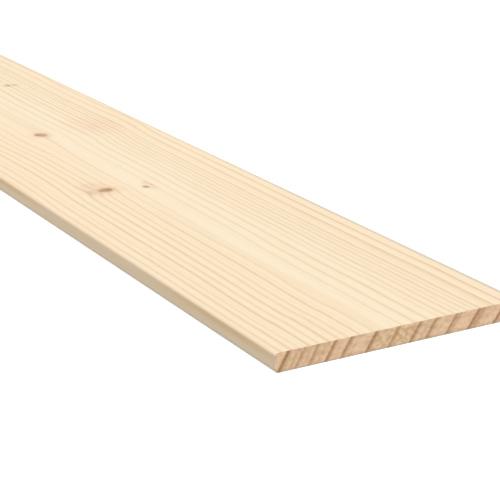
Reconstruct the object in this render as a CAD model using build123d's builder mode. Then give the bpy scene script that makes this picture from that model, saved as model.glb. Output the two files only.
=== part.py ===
from build123d import *
import os

# A planed softwood plank: one solid stick of timber, lying flat on its wide face.
# The origin is the middle of the underside. +X runs along the grain, +Y across the
# width and +Z up through the thickness.

# Driving dimensions, in millimetres
plank_length = 2000.0  # from one saw cut to the other
plank_width = 200.0  # across the planed face
plank_thickness = 14.0  # between the two planed faces
arris_radius = 2.5  # rounding that the moulder leaves on the four long corners

# Two roundings share each side of the section, so one takes just under half of it at most.
largest_radius = 0.49 * min(plank_width, plank_thickness)
corner_radius = min(arris_radius, largest_radius)

# The moulder cuts the whole section in one pass, so it is drawn at one saw cut and
# run along the length. The ends are square and keep their sharp edges.
with BuildPart() as plank:
    with BuildSketch(Plane.YZ.offset(-plank_length / 2)) as section:
        Rectangle(plank_width, plank_thickness, align=(Align.CENTER, Align.MIN))
        fillet(section.vertices(), corner_radius)
    extrude(amount=plank_length)

plank.part.label = "plank"

os.makedirs("parts", exist_ok=True)
export_step(plank.part, "parts/plank.step")
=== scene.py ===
# %% [markdown]
# # A planed softwood plank
# The plank is one stick of spruce: planed on its two wide faces and its two long edges, with
# its four long corners eased, and cut square by a saw at both ends. The construction model
# already has its exact outline. This lesson gives it what makes it look like wood: growth rings
# that run through the whole stick, knots, fibres, and the fine relief that planing and sawing
# leave.

# %% Load the construction model
import math

import bmesh
import bpy
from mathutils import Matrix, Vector


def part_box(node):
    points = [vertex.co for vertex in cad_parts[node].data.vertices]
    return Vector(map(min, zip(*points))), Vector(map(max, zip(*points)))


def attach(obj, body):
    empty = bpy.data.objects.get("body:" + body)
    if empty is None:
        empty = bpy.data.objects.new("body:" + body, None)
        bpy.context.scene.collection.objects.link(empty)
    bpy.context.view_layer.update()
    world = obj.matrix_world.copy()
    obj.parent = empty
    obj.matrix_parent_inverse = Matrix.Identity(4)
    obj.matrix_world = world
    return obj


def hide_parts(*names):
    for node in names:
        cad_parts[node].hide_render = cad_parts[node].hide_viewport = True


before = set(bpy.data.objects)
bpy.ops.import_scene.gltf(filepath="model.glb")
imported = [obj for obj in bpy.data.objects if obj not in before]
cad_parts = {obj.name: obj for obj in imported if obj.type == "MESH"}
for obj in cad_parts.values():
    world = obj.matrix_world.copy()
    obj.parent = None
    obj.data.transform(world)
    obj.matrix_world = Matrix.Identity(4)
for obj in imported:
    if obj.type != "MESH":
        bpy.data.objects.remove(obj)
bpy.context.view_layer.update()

low_corner, high_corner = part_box("plank")

# %% [markdown]
# ## Measures
# The stick's size is read from the construction model, so the finish always fits it. Blender
# works in metres, and a joiner works in millimetres, so `MM` turns one into the other. The
# plank lies along X, its width runs along Y, and its underside rests at a height of zero.

# %% Measures of the stick
MM = 0.001
plank_length, plank_width, plank_thickness = high_corner - low_corner
plank_middle = (low_corner + high_corner) / 2
arris_radius = 2.5 * MM
print("length, width and thickness in metres", plank_length, plank_width, plank_thickness)

# %% [markdown]
# ## Camera
# The photo looks along the plank from its near end, 30 degrees round from its length and just
# under 19 degrees down, through a long lens. Its edges run together towards a point, and that
# point and the plank's own width fix where the camera stood. Blender counts the turn from the
# Y axis, so it reads 60 degrees here. The lens is stated for a square picture of 500 by 500
# pixels.

# %% Camera at the photo's place
camera_place = (1.8050, -0.5835, 0.4002)
degrees_down = 18.623
degrees_round = 60.002
lens_length = 114.13
sensor_width = 36.0
photo_camera = bpy.data.objects.new("photo_camera", bpy.data.cameras.new("photo_camera"))
photo_camera.data.lens = lens_length
photo_camera.data.sensor_width = sensor_width
photo_camera.location = camera_place
photo_camera.rotation_euler = (math.radians(90.0 - degrees_down), 0.0, math.radians(degrees_round))
bpy.context.scene.collection.objects.link(photo_camera)
bpy.context.scene.camera = photo_camera
bpy.context.scene.view_settings.view_transform = "Standard"
print("camera at", camera_place, "with a lens of", lens_length, "mm")

# %% [markdown]
# ## Helpers for node trees
# The grain is arithmetic on a place in the wood, and the same arithmetic is needed twice: by
# the finishes, for colour, and by the relief, for shape. So the helpers below put nodes into
# any tree they are given. Each takes plain numbers or another node's output, and returns the
# output to go on with, so that a recipe reads from top to bottom.

# %% Arithmetic on numbers
def plug(tree, value, socket):
    """Feeds a socket from another node's output, or with a plain number, vector or colour."""
    if isinstance(value, bpy.types.NodeSocket):
        tree.links.new(value, socket)
    else:
        socket.default_value = value


def calc(tree, operation, *values):
    """One step of arithmetic on single numbers."""
    node = tree.nodes.new("ShaderNodeMath")
    node.operation = operation
    for value, socket in zip(values, node.inputs):
        plug(tree, value, socket)
    return node.outputs[0]


def total(tree, *values):
    """The sum of several numbers."""
    result = values[0]
    for value in values[1:]:
        result = calc(tree, "ADD", result, value)
    return result


def product(tree, *values):
    """Several numbers multiplied."""
    result = values[0]
    for value in values[1:]:
        result = calc(tree, "MULTIPLY", result, value)
    return result


print("helpers", [helper.__name__ for helper in (plug, calc, total, product)])

# %% Arithmetic on places
def vector_calc(tree, operation, *values):
    """One step of arithmetic on vectors."""
    node = tree.nodes.new("ShaderNodeVectorMath")
    node.operation = operation
    for value, socket in zip(values, node.inputs):
        plug(tree, value, socket)
    return node.outputs["Value" if operation == "LENGTH" else "Vector"]


def split(tree, place):
    """The three numbers of a vector."""
    node = tree.nodes.new("ShaderNodeSeparateXYZ")
    plug(tree, place, node.inputs[0])
    return node.outputs[0], node.outputs[1], node.outputs[2]


def join(tree, *values):
    """A vector from three numbers."""
    node = tree.nodes.new("ShaderNodeCombineXYZ")
    for value, socket in zip(values, node.inputs):
        plug(tree, value, socket)
    return node.outputs[0]


print("helpers", [helper.__name__ for helper in (vector_calc, split, join)])

# %% [markdown]
# Wood is never quite regular, so most steps add some noise. Fibres make every pattern in wood
# far longer than it is wide, and the noise is stretched to a patch size given in millimetres.
# Shapes that are easier to draw than to write as a formula, such as how dark one growth ring
# is from side to side, are curves drawn through points in real units.

# %% Noise and fades
def noise(tree, place, patch, detail=2.0):
    """Noise from 0 to 1, in patches of a size in millimetres along X, Y and Z."""
    node = tree.nodes.new("ShaderNodeTexNoise")
    plug(tree, vector_calc(tree, "DIVIDE", place, patch), node.inputs["Vector"])
    node.inputs["Scale"].default_value = 1.0
    node.inputs["Detail"].default_value = detail
    return node.outputs[0]


def sway(tree, place, patch, reach, detail=2.0):
    """Noise about zero that swings by about reach to either side."""
    centred = calc(tree, "SUBTRACT", noise(tree, place, patch, detail), 0.5)
    return calc(tree, "MULTIPLY", centred, 4.0 * reach)


def fade(tree, value, nothing_at, full_at):
    """0 up to nothing_at, 1 from full_at on, and a soft step between them."""
    node = tree.nodes.new("ShaderNodeMapRange")
    node.interpolation_type = "SMOOTHSTEP"
    plug(tree, value, node.inputs["Value"])
    node.inputs["From Min"].default_value = nothing_at
    node.inputs["From Max"].default_value = full_at
    return node.outputs[0]


def between(tree, share, first, second):
    """A number that goes from first to second as share goes from 0 to 1."""
    return calc(tree, "MULTIPLY_ADD", calc(tree, "SUBTRACT", second, first), share, first)


print("helpers", [helper.__name__ for helper in (noise, sway, fade, between)])

# %% Curves and mixed colours
def drawn_curve(tree, value, points, handles="AUTO", extend="HORIZONTAL"):
    """A curve drawn through points, each of them in its own real units."""
    left, right = points[0][0], points[-1][0]
    bottom = min(height for _, height in points)
    top = max(height for _, height in points)
    scaled = [((x - left) / (right - left), (y - bottom) / (top - bottom)) for x, y in points]
    node = tree.nodes.new("ShaderNodeFloatCurve")
    node.mapping.extend = extend
    line = node.mapping.curves[0]
    line.points[0].location = scaled[0]
    line.points[1].location = scaled[-1]
    for x, y in scaled[1:-1]:
        line.points.new(x, y)
    for point in line.points:
        point.handle_type = handles
    node.mapping.update()
    along = calc(tree, "DIVIDE", calc(tree, "SUBTRACT", value, left), right - left)
    plug(tree, along, node.inputs["Value"])
    return calc(tree, "MULTIPLY_ADD", node.outputs[0], top - bottom, bottom)


def mix(tree, share, first, second, blend="MIX"):
    """Two colours mixed by a share from 0 to 1."""
    node = tree.nodes.new("ShaderNodeMix")
    node.data_type = "RGBA"
    node.blend_type = blend
    plug(tree, share, node.inputs[0])
    plug(tree, first, node.inputs[6])
    plug(tree, second, node.inputs[7])
    return node.outputs[2]


print("helpers", [helper.__name__ for helper in (drawn_curve, mix)])

# %% [markdown]
# A node group is a recipe that is written once and used many times. It matters here because
# the same knot is used some twenty times, and the grain by both finishes.

# %% Node groups
def new_group(name, kind, inputs, outputs):
    """An empty node group with its sockets, and the two nodes that hold them."""
    tree = bpy.data.node_groups.new(name, kind)
    for socket_name, socket_kind in inputs:
        tree.interface.new_socket(name=socket_name, in_out="INPUT", socket_type=socket_kind)
    for socket_name, socket_kind in outputs:
        tree.interface.new_socket(name=socket_name, in_out="OUTPUT", socket_type=socket_kind)
    return tree, tree.nodes.new("NodeGroupInput").outputs, tree.nodes.new("NodeGroupOutput").inputs


def use_group(tree, group, **values):
    """A node that runs a group, with its inputs fed by name. Returns its outputs."""
    node = tree.nodes.new(tree.bl_idname.replace("Tree", "Group"))
    node.node_tree = group
    for name, value in values.items():
        plug(tree, value, node.inputs[name])
    return node.outputs


print("helpers", [helper.__name__ for helper in (new_group, use_group)])

# %% [markdown]
# ## Growth rings
# Every ring is a layer of the trunk, so on the saw cut it is an arc about the heart of the
# tree. The arcs of this plank lean over to the right and are nearly straight, which puts the
# heart far off: 625 mm to the right of the plank's middle, and 400 mm below its underside.
# Painting lines on each face would be simpler, but they would not follow each other round a
# corner. Working out each place's distance from the heart gives rings that run through the
# stick.
#
# A ring is pale where it grew in spring and ends in a dark band of summer wood. The bands are
# not evenly spaced, so they are listed as a joiner would measure them: how far from the left
# edge each crosses the end at half the thickness, and how strongly it shows near this end, at
# half a metre, and from 620 mm on. The planed sides show many thin lines. On the saw cut some
# of them run together into broader bands, so the saw cuts have a list of their own, with one
# strength each.

# %% Where the summer wood lies
heart_across = 625.0
heart_height = -402.0
half_thickness = plank_thickness / MM / 2
half_width = plank_width / MM / 2
face_bands = [
    (-14.0, 0.40, 0.40, 0.40), (-4.5, 0.35, 0.30, 0.30), (0.6, 0.50, 0.52, 0.50),
    (8.1, 0.62, 0.53, 0.50), (13.8, 0.35, 0.24, 0.30), (17.6, 0.06, 0.06, 0.10),
    (21.7, 0.78, 0.74, 0.70), (28.9, 0.47, 0.42, 0.45), (36.5, 0.74, 0.64, 0.60),
    (44.6, 0.54, 0.49, 0.40), (51.3, 0.50, 0.53, 0.45), (56.3, 0.12, 0.10, 0.12),
    (60.9, 0.76, 0.62, 0.50), (65.1, 0.15, 0.03, 0.05), (71.8, 0.53, 0.30, 0.30),
    (73.9, 0.20, 0.06, 0.06), (76.0, 0.20, 0.03, 0.05), (78.1, 0.16, 0.03, 0.03),
    (80.2, 0.18, 0.52, 0.32), (82.6, 0.00, 0.00, 0.30), (84.9, 0.00, 0.00, 0.28),
    (90.2, 0.07, 0.04, 0.08), (94.4, 0.36, 0.32, 0.36),
    (105.4, 0.53, 0.36, 0.43), (116.2, 0.60, 0.46, 0.66), (125.2, 0.33, 0.41, 0.41),
    (131.0, 0.47, 0.41, 0.58), (137.9, 0.58, 0.47, 0.55), (143.2, 0.36, 0.44, 0.31),
    (148.8, 0.58, 0.53, 0.63), (154.1, 0.43, 0.37, 0.40), (159.0, 0.68, 0.60, 0.75),
    (164.1, 0.14, 0.05, 0.10), (166.4, 0.22, 0.07, 0.05), (168.6, 0.44, 0.26, 0.10),
    (170.7, 0.85, 0.71, 0.54), (178.3, 0.10, 0.04, 0.04), (180.6, 0.80, 0.68, 0.62),
    (186.1, 0.07, 0.07, 0.07), (191.0, 0.05, 0.05, 0.05), (199.5, 0.40, 0.40, 0.40),
    (209.0, 0.55, 0.55, 0.55), (218.0, 0.40, 0.40, 0.40),
]
cut_bands = [
    (-13.0, 0.80), (-4.5, 0.40), (6.0, 1.00), (13.8, 0.16), (18.4, 0.55), (23.9, 0.14),
    (28.6, 0.58), (35.5, 0.08), (41.9, 0.87), (47.5, 0.06), (54.3, 0.80), (60.0, 0.10),
    (74.3, 0.92), (86.4, 0.08), (91.8, 0.63), (103.5, 0.06), (109.8, 0.79), (117.2, 0.17),
    (122.7, 0.70), (130.7, 0.08), (140.2, 0.71), (142.6, 0.38), (159.3, 0.84), (161.3, 0.46),
    (163.3, 0.50), (170.0, 0.06), (181.4, 0.85), (190.5, 0.45), (199.5, 0.70), (210.0, 0.85),
]
print("bands on the sides", len(face_bands), "and on the saw cuts", len(cut_bands))

# %% [markdown]
# To find the nearest band, a first curve turns a distance from the heart into a count of
# bands, and the whole count is then looked up in more curves: where that band lies, and how
# strong it is at each of its stages along the plank. The renderer keeps a curve as 256
# samples, and 255 is five times 51, so a count divided by 51 meets a sample exactly. On the
# saw cuts a band's soft side faces the heart, so there it owns more of the gap on that side.

# %% Looking up the nearest band
NUMBER = "NodeSocketFloat"
VECTOR = "NodeSocketVector"
LOOKUP_STEPS = 51
FACE_INNER_SHARE = 0.5
CUT_INNER_SHARE = 0.72


def band_radius(place):
    """How far from the heart lies a band that crosses the end at this place."""
    return math.hypot(heart_across + half_width - place, half_thickness - heart_height)


def ring_group(name, kind, bands, inner_share):
    """How far inwards of the nearest band a radius lies, in millimetres, and how strong it is."""
    tree, given, result = new_group(name, kind, [("Radius", NUMBER), ("Along", NUMBER)],
                                    [("Into band", NUMBER), ("Strength", NUMBER)])
    inside_first = sorted(bands, reverse=True)
    radii = [band_radius(band[0]) for band in inside_first]
    numbers = list(zip(radii, range(len(radii))))
    count = drawn_curve(tree, given["Radius"], numbers, "VECTOR", "EXTRAPOLATED")
    band_number = calc(tree, "FLOOR", calc(tree, "ADD", count, inner_share))
    lookup = calc(tree, "DIVIDE", band_number, LOOKUP_STEPS)
    steps = [n / LOOKUP_STEPS for n in range(len(radii))] + [1.0]
    edge = drawn_curve(tree, lookup, list(zip(steps, radii + radii[-1:])), "VECTOR")
    stages = [drawn_curve(tree, lookup, list(zip(steps, strengths + (0.0,))), "VECTOR")
              for strengths in zip(*[band[1:] for band in inside_first])]
    strength = stages[0]
    for number, later in enumerate(stages[1:]):
        share = fade(tree, given["Along"], float(number), number + 1.0)
        strength = between(tree, share, strength, later)
    plug(tree, calc(tree, "SUBTRACT", edge, given["Radius"]), result["Into band"])
    plug(tree, strength, result["Strength"])
    print(name, kind, "bands", len(radii), "radii", round(radii[0]), "to", round(radii[-1]), "mm")
    return tree


painted_rings = ring_group("face_rings", "ShaderNodeTree", face_bands, FACE_INNER_SHARE)
carved_rings = ring_group("carved_rings", "GeometryNodeTree", face_bands, FACE_INNER_SHARE)
painted_cut_rings = ring_group("cut_rings", "ShaderNodeTree", cut_bands, CUT_INNER_SHARE)

# %% [markdown]
# ## Knots
# A knot is the foot of a branch. It grew out from the heart, so it passes through the plank
# at a slant, and on the underside it comes out some 25 mm further to the right. The rings bend
# where it passes: they dip towards the heart, or part and flow round it. One node group holds
# that shape, and each knot is a use of it with its own place, size and colour. The big knot
# is five uses: a pale body, two dark hearts in it, a faint smear on its left and warm wood
# behind it.

# %% The shape of a knot
branch_slant = 1.75
core_from, core_full = 0.62, 0.25
halo_from, halo_full = 1.3, 0.4
year_ring_pace = 40.0


def bell(tree, share, sharpness):
    """1 in the middle, falling to nothing on both sides in the curve of a bell."""
    squared = calc(tree, "POWER", share, 2.0)
    return calc(tree, "EXPONENT", calc(tree, "MULTIPLY", squared, -sharpness))


def knot_group(kind):
    """How far a knot shifts the rings, and how much of a place is its core and its halo."""
    inputs = [("Place", VECTOR), ("Centre", VECTOR), ("Size", VECTOR),
              ("Dip", NUMBER), ("Parting", NUMBER)]
    outputs = [("Shift", NUMBER), ("Core", NUMBER), ("Halo", NUMBER)]
    tree, given, result = new_group("branch_knot", kind, inputs, outputs)
    offset = vector_calc(tree, "SUBTRACT", given["Place"], given["Centre"])
    along, across, below = split(tree, offset)
    across = calc(tree, "MULTIPLY_ADD", below, branch_slant, across)
    size_along, size_across, _ = split(tree, given["Size"])
    along_share = calc(tree, "DIVIDE", along, size_along)
    across_share = calc(tree, "DIVIDE", across, size_across)
    span = vector_calc(tree, "LENGTH", join(tree, along_share, across_share, 0.0))
    reach = calc(tree, "ADD", span, sway(tree, given["Place"], (4.0, 4.0, 4.0), 0.07, 3.0))
    year_rings = calc(tree, "SINE", calc(tree, "MULTIPLY", reach, year_ring_pace))
    ringed = calc(tree, "MULTIPLY_ADD", year_rings, 0.1, 0.9)
    core = calc(tree, "MULTIPLY", fade(tree, reach, core_from, core_full), ringed)
    plug(tree, core, result["Core"])
    plug(tree, fade(tree, reach, halo_from, halo_full), result["Halo"])
    distance = calc(tree, "ABSOLUTE", across_share)
    side = calc(tree, "DIVIDE", across_share, calc(tree, "ADD", distance, 0.4))
    push = calc(tree, "MULTIPLY_ADD", side, given["Parting"], given["Dip"])
    near_along = bell(tree, along_share, 1.6)
    near_across = bell(tree, across_share, 0.7)
    plug(tree, product(tree, push, near_along, near_across), result["Shift"])
    return tree


print("a knot leans", round(math.degrees(math.atan(branch_slant))), "degrees from upright")

# %% The knots of this plank
# Each knot: distance from the near end, distance from the left edge, length, width, dip of
# the rings, parting of the rings, darkness of the core and warmth of the halo. Four have no
# core: the warm wood behind the big knot, a peach fleck beside a small one, and a warm patch
# with a warmer middle, over a branch that lies deeper.
knots = [
    (389.5, 62.5, 14.5, 16.5, 4.8, 0.0, 0.64, 0.60),
    (389.2, 60.6, 8.0, 8.0, 0.0, 0.0, 0.84, 0.0),
    (389.4, 65.6, 8.0, 8.0, 0.0, 0.0, 0.96, 0.0),
    (388.0, 51.0, 16.0, 13.0, 0.0, 0.0, 0.22, 0.3),
    (402.0, 56.5, 16.0, 14.0, 0.0, 0.0, 0.00, 0.5),
    (381.3, 97.5, 8.4, 6.2, 0.3, 0.5, 0.76, 0.3),
    (384.6, 104.5, 6.5, 2.8, 0.0, 0.0, 0.28, 0.0),
    (377.5, 101.8, 9.0, 7.0, 0.0, 0.0, 0.12, 0.2),
    (391.2, 102.8, 9.0, 4.0, 0.0, 0.0, 0.00, 0.6),
    (592.0, 88.2, 15.0, 12.5, 0.0, 4.5, 0.66, 0.45),
    (594.0, 85.0, 9.0, 6.5, 0.0, 0.0, 0.82, 0.0),
    (600.0, 148.0, 42.0, 34.0, 0.0, 0.0, 0.00, 0.2),
    (594.0, 145.0, 20.0, 12.0, 0.0, 0.0, 0.00, 0.35),
    (812.5, 141.6, 12.0, 7.0, 0.0, 1.0, 0.55, 0.2),
    (811.0, 148.8, 9.0, 7.0, 0.0, 0.5, 0.35, 0.2),
    (1022.0, 36.0, 15.0, 12.0, 1.5, 1.0, 0.70, 0.3),
    (1243.0, 158.0, 22.0, 19.0, 3.5, 1.5, 0.95, 0.5),
    (1249.0, 55.0, 12.0, 10.0, 0.0, 1.5, 0.50, 0.3),
    (1454.0, 104.0, 19.0, 16.0, 0.0, 4.0, 0.85, 0.4),
    (1668.0, 62.0, 16.0, 14.0, 3.0, 1.0, 0.80, 0.4),
    (1675.0, 149.0, 11.0, 9.0, 0.0, 1.5, 0.55, 0.3),
    (1884.0, 118.0, 17.0, 13.0, 2.0, 2.0, 0.75, 0.4),
]
print("knots", len(knots))

# %% [markdown]
# ## The grain as one recipe
# The group below takes a place in the stick, in millimetres, undoes what bent the rings there,
# and gives the straightened distance from the heart. Three things bent them: the slow sway of
# the stem, the knots, and a fine wobble. The sway is drawn after the lines of the photo.
# Eleven of its lines are enough: each is a curve of how far that line wanders to the right
# along the plank, and the lines between two of them go with both. The group also gives how far
# along a place is, for the strength of the bands: 0 near this end, 1 at half a metre, and 2
# from 620 mm on.

# %% Sway of the stem
stem_sway = [
    (4.0, [(0, 0.0), (45, -0.5), (80, -0.4), (125, 0.0), (175, 0.2), (275, -0.4), (325, 0.0),
           (360, 0.4), (435, 2.4), (505, 2.2), (560, 0.5), (620, -1.8), (980, -2.0)]),
    (13.0, [(0, 0.0), (45, -0.1), (62, -0.5), (80, -0.4), (125, 0.2), (175, 0.5), (354, 0.9),
            (415, 2.5), (455, 3.2), (505, 2.4), (560, 0.5), (620, -1.8), (980, -2.0)]),
    (25.0, [(0, 0.0), (42, 0.4), (56, -0.7), (80, -0.8), (125, 0.2), (200, 1.0), (354, 0.6),
            (415, 2.5), (455, 3.3), (505, 2.3), (560, 0.3), (620, -1.8), (980, -2.0)]),
    (56.0, [(0, 0.0), (42, 0.5), (56, -0.7), (80, -0.9), (125, 0.2), (225, 1.7), (354, 3.0),
            (415, 4.2), (475, 4.2), (505, 3.6), (540, 1.7), (572, -0.4), (615, -0.8), (980, -0.5)]),
    (66.0, [(0, 0.0), (42, 0.4), (56, -0.7), (80, -0.9), (125, 0.4), (225, 0.9), (300, 1.6),
            (354, 3.0), (415, 4.2), (505, 3.4), (540, 2.0), (572, -0.8), (615, -1.2), (980, -0.2)]),
    (76.0, [(0, 0.0), (42, 0.8), (56, -0.6), (80, -1.2), (125, 0.6), (175, 1.4), (225, 0.4),
            (300, 0.2), (354, 0.6), (505, 1.2), (572, -0.6), (615, -2.4), (980, 1.0)]),
    (86.0, [(0, 0.0), (80, 0.6), (125, -1.0), (225, -1.8), (275, -0.9), (325, -0.2), (445, -0.2),
            (505, 0.7), (540, 2.4), (572, 3.0), (650, 1.6), (980, 4.0)]),
    (99.0, [(0, 0.0), (80, 0.1), (165, 0.2), (225, 2.9), (275, 3.9), (354, 5.0), (435, 6.2),
            (505, 6.6), (540, 7.2), (572, 9.2), (615, 8.6), (690, 6.8), (980, 6.5)]),
    (125.0, [(0, 0.0), (45, 0.0), (80, 0.7), (125, 0.0), (165, 0.1), (225, 1.6), (285, 2.2),
             (354, 2.0), (435, 3.6), (505, 3.7), (540, 5.0), (572, 7.4), (615, 6.5), (690, 5.2),
             (780, 6.4), (847, 7.9), (980, 7.5)]),
    (160.0, [(0, 0.0), (45, 0.0), (80, 0.4), (125, 0.0), (225, 0.6), (290, 0.8), (354, 1.6),
             (415, 2.0), (505, 3.4), (540, 4.8), (572, 7.6), (615, 7.0), (735, 6.2), (847, 8.2),
             (980, 8.5)]),
    (186.0, [(0, 0.0), (45, 0.0), (80, 0.8), (125, 0.3), (225, 0.0), (275, 0.1), (354, 0.8),
             (435, 1.6), (505, 1.9), (540, 2.7), (572, 5.0), (615, 7.3), (650, 6.2), (735, 5.0),
             (847, 7.7), (980, 8.0)]),
]
far_sway = [(980, 0.0), (1250, -2.5), (1550, -6.0), (1780, -3.5), (2000, -5.0)]
print("lines that carry the sway", len(stem_sway))

# %% Bending the rings
def stem_shift(tree, from_end, from_left):
    """How far to the right the stem's sway has taken the rings."""
    reached, points = stem_sway[0]
    shift = drawn_curve(tree, from_end, points)
    for place, points in stem_sway[1:]:
        share = fade(tree, from_left, reached, place)
        shift = between(tree, share, shift, drawn_curve(tree, from_end, points))
        reached = place
    return calc(tree, "ADD", shift, drawn_curve(tree, from_end, far_sway))


print("the far half sways to the left by", -min(shift for _, shift in far_sway), "mm at most")

# %% The grain group
near_end = high_corner.x / MM
left_edge = low_corner.y / MM
top_face = high_corner.z / MM
stages_along = [(150, 0.0), (420, 1.0), (560, 1.0), (620, 2.0)]


def grain_group(kind):
    """The straightened distance from the heart, and how much of a place belongs to a knot."""
    outputs = [("Radius", NUMBER), ("Along", NUMBER), ("Core", NUMBER), ("Halo", NUMBER)]
    tree, given, result = new_group("wood_grain", kind, [("Place", VECTOR)], outputs)
    place = given["Place"]
    x, y, z = split(tree, place)
    from_end = calc(tree, "SUBTRACT", near_end, x)
    from_left = calc(tree, "SUBTRACT", y, left_edge)

    knot_tree = knot_group(kind)
    shifts = []
    core = 0.0
    halo = 0.0
    for distance, across, length, width, dip, parting, darkness, warmth in knots:
        centre = (near_end - distance, left_edge + across, top_face)
        knot = use_group(tree, knot_tree, Place=place, Centre=centre, Size=(length, width, 1.0),
                         Dip=dip, Parting=parting)
        shifts.append(knot["Shift"])
        core = calc(tree, "MAXIMUM", core, calc(tree, "MULTIPLY", knot["Core"], darkness))
        halo = calc(tree, "MAXIMUM", halo, calc(tree, "MULTIPLY", knot["Halo"], warmth))

    slow = sway(tree, place, (180.0, 50.0, 50.0), 0.15)
    quick = sway(tree, place, (45.0, 12.0, 12.0), 0.2)
    ragged = sway(tree, place, (7.0, 2.0, 2.0), 0.2)
    stem = stem_shift(tree, from_end, from_left)
    straight_y = calc(tree, "SUBTRACT", y, total(tree, stem, slow, quick, ragged, *shifts))
    beside = calc(tree, "SUBTRACT", heart_across, straight_y)
    above = calc(tree, "SUBTRACT", z, heart_height)
    plug(tree, vector_calc(tree, "LENGTH", join(tree, 0.0, beside, above)), result["Radius"])
    plug(tree, drawn_curve(tree, from_end, stages_along, "VECTOR"), result["Along"])
    plug(tree, core, result["Core"])
    plug(tree, halo, result["Halo"])
    return tree


painted_grain = grain_group("ShaderNodeTree")
carved_grain = grain_group("GeometryNodeTree")
print("nodes in the grain", len(painted_grain.nodes))

# %% [markdown]
# ## The stick's shape
# The stick starts as a block. Beveling its four long edges rounds the arrises as the moulder
# does, and flat cuts across, up and along then give it enough points for its relief. The cells
# are long and narrow like the grain: 1.25 mm across it and 10 mm along it.

# %% Block and arrises
arris_steps = 8
stick = bmesh.new()
bmesh.ops.create_cube(stick, size=1.0)
bmesh.ops.scale(stick, verts=stick.verts, vec=(plank_length, plank_width, plank_thickness))
bmesh.ops.translate(stick, verts=stick.verts, vec=plank_middle)
long_edges = [edge for edge in stick.edges if edge.calc_length() > plank_length / 2]
bmesh.ops.bevel(stick, geom=long_edges, offset=arris_radius, segments=arris_steps, profile=0.5,
                affect="EDGES", material=-1)
# The bevel leaves gaps in the list of faces, which later cuts would fill in no fixed order. A
# copy has no gaps, so the faces are listed alike on every run.
beveled_block = stick
stick = beveled_block.copy()
beveled_block.free()
print("after the arrises", len(stick.faces), "faces")

# %% Cuts across, up and along
on_the_plane = 1e-7


def cut_into_strips(axis, first, last, count):
    """Cuts the stick by flat planes square to an axis, evenly spaced from first to last."""
    for step in range(count + 1):
        point = Vector()
        point[axis] = first + (last - first) * step / count
        normal = Vector()
        normal[axis] = 1.0
        everything = stick.verts[:] + stick.edges[:] + stick.faces[:]
        bmesh.ops.bisect_plane(stick, geom=everything, dist=on_the_plane, plane_co=point,
                               plane_no=normal)


across_cell = 1.25 * MM
along_cell = 10.0 * MM
flat_left = low_corner.y + arris_radius
flat_right = high_corner.y - arris_radius
flat_bottom = low_corner.z + arris_radius
flat_top = high_corner.z - arris_radius
cut_into_strips(1, flat_left, flat_right, round((flat_right - flat_left) / across_cell))
cut_into_strips(2, flat_bottom, flat_top, round((flat_top - flat_bottom) / across_cell))
columns = round(plank_length / along_cell)
cut_into_strips(0, low_corner.x + along_cell, high_corner.x - along_cell, columns - 2)
print("after the cuts", len(stick.faces), "faces")

# %% [markdown]
# ## Two finishes and a map
# The saw cuts and the planed sides get a finish each, so the end faces carry the second slot.
# The map lays every face out flat once, with the top as two strips of a metre each, for any
# program that stores the finish as a picture. It is worked out from each face's own place.

# %% Strips of the flat map
margin = 0.004
strip_heights = {"top_far": 0.285, "top_near": 0.285, "underside": 0.215, "left": 0.048,
                 "right": 0.048, "far_end": 0.042, "near_end": 0.042}
strip_starts = {}
strip_foot = margin
for strip_name, strip_height in strip_heights.items():
    strip_starts[strip_name] = strip_foot
    strip_foot += strip_height + margin
print("the map is filled up to", round(strip_foot, 3))


def strip_of(face):
    """The name of the strip a face is laid on, and its two axes and their ranges."""
    lengthwise = (0, low_corner.x, high_corner.x)
    widthwise = (1, low_corner.y, high_corner.y)
    upwards = (2, low_corner.z, high_corner.z)
    if abs(face.normal.x) > 0.5:
        return "near_end" if face.normal.x > 0 else "far_end", widthwise, upwards
    if face.normal.z > abs(face.normal.y):
        if face.calc_center_median().x > plank_middle.x:
            return "top_near", (0, plank_middle.x, high_corner.x), widthwise
        return "top_far", (0, low_corner.x, plank_middle.x), widthwise
    if -face.normal.z > abs(face.normal.y):
        return "underside", lengthwise, widthwise
    return "right" if face.normal.y > 0 else "left", lengthwise, upwards


# %% Slots, the map and the piece
map_layer = stick.loops.layers.uv.new("OFBake")
sharpest_smooth = math.radians(60)
for face in stick.faces:
    strip_name, (u_axis, u_low, u_high), (v_axis, v_low, v_high) = strip_of(face)
    face.smooth = True
    face.material_index = 1 if strip_name in ("near_end", "far_end") else 0
    for corner in face.loops:
        u_share = (corner.vert.co[u_axis] - u_low) / (u_high - u_low)
        v_share = (corner.vert.co[v_axis] - v_low) / (v_high - v_low)
        corner[map_layer].uv = (margin + (1 - 2 * margin) * u_share,
                                strip_starts[strip_name] + strip_heights[strip_name] * v_share)
for edge in stick.edges:
    edge.smooth = edge.calc_face_angle(0.0) < sharpest_smooth

planed_plank = bpy.data.objects.new("planed_plank", bpy.data.meshes.new("planed_plank"))
bpy.context.scene.collection.objects.link(planed_plank)
stick.to_mesh(planed_plank.data)
stick.free()
print("faces laid out on the map", len(planed_plank.data.polygons))

# %% [markdown]
# ## Relief in the surface
# Planed spruce isn't flat to the finger. The hard summer bands stand up in low ridges, because
# the soft spring wood between them is cut a little deeper and springs back less, and a knot
# stands up most. The saw leaves the end slightly stepped. A Geometry Nodes tree runs the same
# grain recipe on every point of the mesh and sinks it by a few hundredths of a millimetre,
# always inwards, so the stick keeps its size. The result is then made the piece's own mesh.

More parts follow.
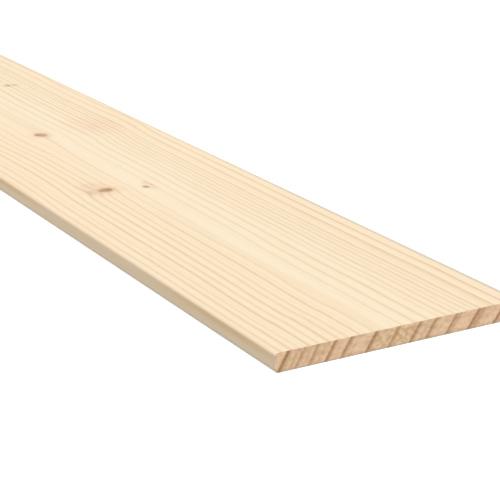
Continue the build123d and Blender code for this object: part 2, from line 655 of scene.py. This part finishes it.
# %% Heights of the grain
ridge_height = 0.05
saw_depth = 0.06
carving, given, result = new_group("carve_relief", "GeometryNodeTree",
                                   [("Geometry", "NodeSocketGeometry")],
                                   [("Geometry", "NodeSocketGeometry")])
point_place = carving.nodes.new("GeometryNodeInputPosition").outputs[0]
place_mm = vector_calc(carving, "DIVIDE", point_place, (MM, MM, MM))
grain = use_group(carving, carved_grain, Place=place_mm)
rings = use_group(carving, carved_rings, Radius=grain["Radius"], Along=grain["Along"])
ridge_profile = [(-3.0, 0.0), (-1.4, 0.35), (0.0, 1.0), (1.4, 0.35), (3.0, 0.0)]
ridge_shape = drawn_curve(carving, rings["Into band"], ridge_profile)
ridge = calc(carving, "MULTIPLY", ridge_shape, rings["Strength"])
ridge = calc(carving, "MAXIMUM", ridge, grain["Core"])
sunk = calc(carving, "MULTIPLY", calc(carving, "SUBTRACT", 1.0, ridge), -ridge_height * MM)
print("ridges of", ridge_height, "mm and saw steps of", saw_depth, "mm")

# %% Moving the points inwards
end_skin = 0.1 * MM
outward = carving.nodes.new("GeometryNodeInputNormal").outputs[0]
_, out_y, out_z = split(carving, outward)
x, y, z = split(carving, point_place)
at_end = calc(carving, "GREATER_THAN", calc(carving, "ABSOLUTE", x), plank_length / 2 - end_skin)
saw_step = noise(carving, place_mm, (1.0, 9.0, 40.0), 1.0)
saw_cut = product(carving, saw_step, -saw_depth * MM, at_end, calc(carving, "SIGN", x))
moved = carving.nodes.new("GeometryNodeSetPosition")
plug(carving, given["Geometry"], moved.inputs["Geometry"])
sunk_y = calc(carving, "MULTIPLY", out_y, sunk)
sunk_z = calc(carving, "MULTIPLY", out_z, sunk)
plug(carving, join(carving, saw_cut, sunk_y, sunk_z), moved.inputs["Offset"])
plug(carving, moved.outputs["Geometry"], result["Geometry"])
print("nodes that carve", len(carving.nodes))

# %% The carved mesh
relief = planed_plank.modifiers.new("relief", "NODES")
relief.node_group = carving
bpy.context.view_layer.update()
evaluated = planed_plank.evaluated_get(bpy.context.evaluated_depsgraph_get())
carved_mesh = bpy.data.meshes.new_from_object(evaluated)
planed_plank.modifiers.remove(relief)
planed_plank.data = carved_mesh
carved_mesh.name = "planed_plank"
triangle_count = sum(len(polygon.vertices) - 2 for polygon in carved_mesh.polygons)
print("triangles", triangle_count, "maps", [layer.name for layer in carved_mesh.uv_layers])

# %% [markdown]
# ## Colours
# The colours are written as a designer reads them off a screen, from 0 to 255, and turned into
# the linear numbers that a shader works with. Both finishes start the same way: with a
# Principled shader, and with each point's place in the wood in millimetres, so that every
# pattern has a size that can be checked with a ruler.

# %% Colours of spruce
def screen_colour(red, green, blue):
    """A colour as read off a screen, made linear."""
    shares = [value / 255 for value in (red, green, blue)]
    linear = [s / 12.92 if s <= 0.04045 else ((s + 0.055) / 1.055) ** 2.4 for s in shares]
    return tuple(linear + [1.0])


spring_face = screen_colour(253, 232, 200)
cream_face = screen_colour(253, 235, 206)
pink_face = screen_colour(252, 228, 197)
summer_face = screen_colour(223, 196, 153)
summer_edge = screen_colour(242, 208, 161)
knot_core = screen_colour(161, 111, 67)
knot_rim = screen_colour(242, 206, 172)
spring_end = screen_colour(255, 224, 185)
tan_end = screen_colour(229, 202, 154)
pink_tint = screen_colour(255, 246, 250)
shade_tint = screen_colour(245, 238, 234)
summer_end = screen_colour(178, 129, 88)
# Painted shade: the grey that the lower corners, the right corner and the saw cut's bottom edge are
# mixed towards.
painted_shade_grey = screen_colour(150, 156, 158)
print("spring wood on the face, made linear", [round(value, 3) for value in spring_face[:3]])

# %% How a finish starts
def start_material(name):
    """A material with a Principled shader, and a place in the wood in millimetres."""
    material = bpy.data.materials.new(name)
    material.use_nodes = True
    tree = material.node_tree
    shader = tree.nodes["Principled BSDF"]
    coordinates = tree.nodes.new("ShaderNodeTexCoord").outputs["Object"]
    return material, tree, shader, vector_calc(tree, "DIVIDE", coordinates, (MM, MM, MM))


def raise_surface(tree, shader, height_mm):
    """Bump from a height in millimetres."""
    bump = tree.nodes.new("ShaderNodeBump")
    bump.inputs["Strength"].default_value = 1.0
    bump.inputs["Distance"].default_value = MM
    plug(tree, height_mm, bump.inputs["Height"])
    plug(tree, bump.outputs["Normal"], shader.inputs["Normal"])


print("helpers", [helper.__name__ for helper in (start_material, raise_surface)])

# %% [markdown]
# ## Planed finish
# A sharp planer leaves the wood pale and nearly smooth. Seen along the plank, each summer band
# is a thin warm line, a little ragged because it follows the fibres, and it shows strongest
# beside a knot. On the narrow edges the bands are only faint warm streaks. Between the lines
# the tone drifts towards pink or cream, and the middle of the plank is its palest part. Close
# up, fibres show, and short thin flecks where the planer cut along a resin canal. Shade is
# painted into the colour of the corners: grey where the lower ones meet the floor, and grey in
# patches on the right one, which turns away from the lamp.

# %% Lines on the planed sides
planed, tree, shader, place = start_material("planed_spruce")
grain = use_group(tree, painted_grain, Place=place)
rings = use_group(tree, painted_rings, Radius=grain["Radius"], Along=grain["Along"])
x, y, z = split(tree, place)
outward_y = calc(tree, "ABSOLUTE", y)
on_edge = fade(tree, outward_y, half_width - 2.2, half_width - 0.4)

line_profile = [(-3.2, 0.0), (-1.9, 0.12), (-0.95, 0.52), (-0.1, 1.0), (0.7, 0.6),
                (1.5, 0.16), (2.6, 0.0)]
line_shape = drawn_curve(tree, rings["Into band"], line_profile)
line = calc(tree, "MULTIPLY", line_shape, rings["Strength"])
uneven = calc(tree, "MULTIPLY", noise(tree, place, (70.0, 5.0, 5.0)), 0.7)
beaded = calc(tree, "MULTIPLY", noise(tree, place, (7.0, 1.6, 1.6)), 0.8)
unevenness = total(tree, 0.25, uneven, beaded)
by_a_knot = calc(tree, "MULTIPLY_ADD", grain["Halo"], 1.7, 1.0)
line = product(tree, line, unevenness, by_a_knot, between(tree, on_edge, 1.0, 0.45))
print("a line is gone", -line_profile[0][0], "mm outwards and", line_profile[-1][0], "mm inwards")

# %% Wood between the lines
creamy_places = [(215, 0.1), (172, 0.1), (162, 0.5), (120, 0.75), (104, 0.7), (92, 0.7),
                 (86, 1.0), (81, 0.3), (60, 0.1), (-20, 0.0)]
creamy_radii = [(band_radius(spot), share) for spot, share in creamy_places]
wood = mix(tree, drawn_curve(tree, grain["Radius"], creamy_radii), spring_face, cream_face)
pinkness = fade(tree, noise(tree, place, (150.0, 7.0, 7.0), 3.0), 0.45, 0.7)
wood = mix(tree, calc(tree, "MULTIPLY", pinkness, 0.6), wood, pink_face)
wood = mix(tree, line, wood, mix(tree, on_edge, summer_face, summer_edge))
fibre = sway(tree, place, (18.0, 0.7, 0.7), 0.05, 3.0)
flecks = fade(tree, noise(tree, place, (7.0, 0.6, 0.6), 1.0), 0.68, 0.8)
resin = calc(tree, "MULTIPLY", flecks, 0.4)
wood = mix(tree, total(tree, fibre, resin, 0.02), wood, summer_face)
wood = mix(tree, grain["Halo"], wood, knot_rim)
wood = mix(tree, grain["Core"], wood, knot_core)
print("tones across the width at", [spot for spot, _ in creamy_places], "mm")

# %% Warm streak on the edges
from_end = calc(tree, "SUBTRACT", near_end, x)
warm_places = [(0, 0.45), (30, 0.75), (65, 0.9), (105, 0.75), (140, 0.55), (165, 0.38),
               (210, 0.2), (300, 0.25), (375, 0.3), (420, 0.65), (470, 0.8), (560, 0.3),
               (800, 0.2), (1000, 0.6), (1250, 0.1), (1500, 0.7), (2000, 0.3)]
streak_foot = fade(tree, z, 6.2, 9.6)
streak_head = fade(tree, z, 13.2, 11.2)
warmth_along = drawn_curve(tree, from_end, warm_places)
warm_streak = product(tree, warmth_along, streak_foot, streak_head, on_edge)
wood = mix(tree, warm_streak, wood, summer_edge)
print("the streak is warmest", max(warm_places, key=lambda spot: spot[1])[0], "mm from the end")

# %% Painted shade on the corners, and the planed surface
lower_shade_strength = 0.24
right_shade_near = 0.36
right_shade_far = 0.16
outermost = fade(tree, outward_y, half_width - 3.0, half_width - 1.0)
# Painted shade: grey where the lower corners meet the floor.
lower_corner_shade = calc(tree, "MULTIPLY", fade(tree, z, 4.0, 0.8), outermost)
right_side = fade(tree, y, half_width - 7.0, half_width - 3.2)
patchy = between(tree, noise(tree, place, (90.0, 4.0, 4.0)), 0.4, 1.6)
how_shaded = between(tree, fade(tree, from_end, 300.0, 560.0), right_shade_near, right_shade_far)
# Painted shade: grey in patches along the right corner, which turns away from the lamp.
right_corner_shade = product(tree, fade(tree, z, 10.0, 12.5), right_side, patchy, how_shaded)
painted_corner_shade = calc(tree, "MAXIMUM", calc(tree, "MULTIPLY", lower_corner_shade, lower_shade_strength), right_corner_shade)
wood = mix(tree, painted_corner_shade, wood, painted_shade_grey)
plug(tree, wood, shader.inputs["Base Color"])
fibre_height = sway(tree, place, (20.0, 0.5, 0.5), 0.004)
raise_surface(tree, shader, total(tree, fibre_height, calc(tree, "MULTIPLY", line, 0.01)))
shader.inputs["Roughness"].default_value = 0.6
shader.inputs["Specular IOR Level"].default_value = 0.25
print("nodes in the planed finish", len(tree.nodes))

# %% [markdown]
# ## Sawn finish
# The saw cut shows the ends of the fibres, which drink in light, so it is darker and browner
# than the face, and the summer bands stand out strongly. Each has one crisp side, where summer
# wood stops and the next spring begins, and one soft side. Under the eye the cut is mottled,
# because the saw tears some fibres and leaves others clean, and some groups of rings are
# paler than others. Along its bottom edge, where it meets the floor, shade is painted in grey.

# %% Bands on the saw cuts
sawn, tree, shader, place = start_material("sawn_spruce_end")
grain = use_group(tree, painted_grain, Place=place)
rings = use_group(tree, painted_cut_rings, Radius=grain["Radius"], Along=0.0)
_, y, z = split(tree, place)

band_profile = [(-1.9, 0.0), (-1.0, 0.4), (-0.2, 1.0), (0.9, 0.85), (1.9, 0.4), (3.4, 0.14),
                (5.5, 0.0)]
band_shape = drawn_curve(tree, rings["Into band"], band_profile)
band = calc(tree, "MULTIPLY", band_shape, rings["Strength"])
torn = noise(tree, place, (1.0, 1.6, 1.6), 3.0)
band = calc(tree, "MULTIPLY", band, calc(tree, "MULTIPLY_ADD", torn, 0.9, 0.55))
print("a band is gone", -band_profile[0][0], "mm outwards and", band_profile[-1][0], "mm inwards")

# %% Wood of the saw cuts
tan_places = [(215, 0.4), (177, 0.15), (166, 0.35), (157, 0.1), (133, 0.1), (126, 0.3), (113, 0.2),
              (107, 0.55), (80, 0.55), (72, 0.25), (64, 0.15), (57, 0.35), (52, 0.0), (45, 0.0),
              (38, 0.35), (32, 0.5), (22, 0.3), (12, 0.45), (4, 0.25), (-20, 0.3)]
tan_radii = [(band_radius(spot), share) for spot, share in tan_places]
mottle = sway(tree, place, (1.0, 3.4, 3.0), 0.75, 3.0)
scored = sway(tree, place, (1.0, 0.9, 9.0), 0.12)
tan = total(tree, drawn_curve(tree, grain["Radius"], tan_radii), mottle, scored, -0.08)
wood = mix(tree, tan, spring_end, tan_end)
blotch = fade(tree, noise(tree, place, (1.0, 9.0, 3.0)), 0.35, 0.65)
wood = mix(tree, blotch, wood, pink_tint, "MULTIPLY")
shade = fade(tree, noise(tree, place, (1.0, 3.6, 3.0), 3.0), 0.42, 0.64)
wood = mix(tree, shade, wood, shade_tint, "MULTIPLY")
wood = mix(tree, band, wood, summer_end)
# Painted shade: grey along the bottom edge of the saw cut, where it meets the floor.
bottom_edge_shade = calc(tree, "MULTIPLY", fade(tree, z, 2.2, 0.4), 0.4)
wood = mix(tree, bottom_edge_shade, wood, painted_shade_grey)
plug(tree, wood, shader.inputs["Base Color"])
raise_surface(tree, shader, calc(tree, "MULTIPLY", torn, 0.04))
shader.inputs["Roughness"].default_value = 0.85
shader.inputs["Specular IOR Level"].default_value = 0.15
print("nodes in the sawn finish", len(tree.nodes))

# %% [markdown]
# ## The stick in the scene
# The piece gets its two finishes, in the order of the slots that its faces carry. It rides on
# the part's only body and takes the place of the construction model's stick.

# %% Finishes and body
planed_plank.data.materials.append(planed)
planed_plank.data.materials.append(sawn)
sawn_faces = sum(polygon.material_index for polygon in planed_plank.data.polygons)
print("sawn faces", sawn_faces, "of", len(planed_plank.data.polygons))
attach(planed_plank, "root")
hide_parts("plank")

# %% [markdown]
# ## Floor and light
# The photo has a white ground. The floor is pale and matt, and the camera sees it lighter than
# the light on it makes it, so that it runs into the white behind it and still keeps a thin
# soft shadow under the plank. The sky is an even white, which lights the plank at three
# tenths of what the camera sees. One wide lamp from the left and the near side makes the top
# brightest, the saw cut next and the left edge darkest.

# %% Floor
floor_size = 16.0
floor_mesh = bmesh.new()
bmesh.ops.create_grid(floor_mesh, x_segments=1, y_segments=1, size=floor_size / 2)
floor = bpy.data.objects.new("floor", bpy.data.meshes.new("floor"))
floor_mesh.to_mesh(floor.data)
floor_mesh.free()
bpy.context.scene.collection.objects.link(floor)
print("floor", floor_size, "metres square")

# %% Material of the floor
floor_grey = 0.5
floor_glow = 0.74
floor_finish = bpy.data.materials.new("pale_floor")
floor_finish.use_nodes = True
tree = floor_finish.node_tree
tree.nodes.remove(tree.nodes["Principled BSDF"])
matt = tree.nodes.new("ShaderNodeBsdfDiffuse")
matt.inputs["Color"].default_value = (floor_grey, floor_grey, floor_grey, 1.0)
glow = tree.nodes.new("ShaderNodeEmission")
rays = tree.nodes.new("ShaderNodeLightPath").outputs
seen = calc(tree, "MAXIMUM", rays["Is Camera Ray"], rays["Is Glossy Ray"])
plug(tree, calc(tree, "MULTIPLY", seen, floor_glow), glow.inputs["Strength"])
both = tree.nodes.new("ShaderNodeAddShader")
plug(tree, matt.outputs[0], both.inputs[0])
plug(tree, glow.outputs[0], both.inputs[1])
plug(tree, both.outputs[0], tree.nodes["Material Output"].inputs["Surface"])
floor.data.materials.append(floor_finish)
print("floor grey", floor_grey, "and glow seen by the camera", floor_glow)

# %% Sky
sky_level = 0.3
sky = bpy.data.worlds.new("white_studio")
sky.use_nodes = True
bpy.context.scene.world = sky
tree = sky.node_tree
rays = tree.nodes.new("ShaderNodeLightPath").outputs
seen = calc(tree, "MAXIMUM", rays["Is Camera Ray"], rays["Is Glossy Ray"])
seen = calc(tree, "MAXIMUM", seen, rays["Is Transmission Ray"])
sky_light = tree.nodes["Background"]
sky_light.inputs["Color"].default_value = (1.0, 1.0, 1.0, 1.0)
level = calc(tree, "MULTIPLY_ADD", seen, 1.0 - sky_level, sky_level)
plug(tree, level, sky_light.inputs["Strength"])
print("sky lights at", sky_level)

# %% Lamp
lamp_from = Vector((0.355, -0.165, 0.70))
lamp_spread = math.radians(40)
lamp = bpy.data.objects.new("studio_lamp", bpy.data.lights.new("studio_lamp", "SUN"))
lamp.data.energy = math.pi * lamp_from.length
lamp.data.angle = lamp_spread
lamp.rotation_euler = lamp_from.to_track_quat("Z", "Y").to_euler()
lamp.location = lamp_from
bpy.context.scene.collection.objects.link(lamp)
print("lamp strength", round(lamp.data.energy, 3))
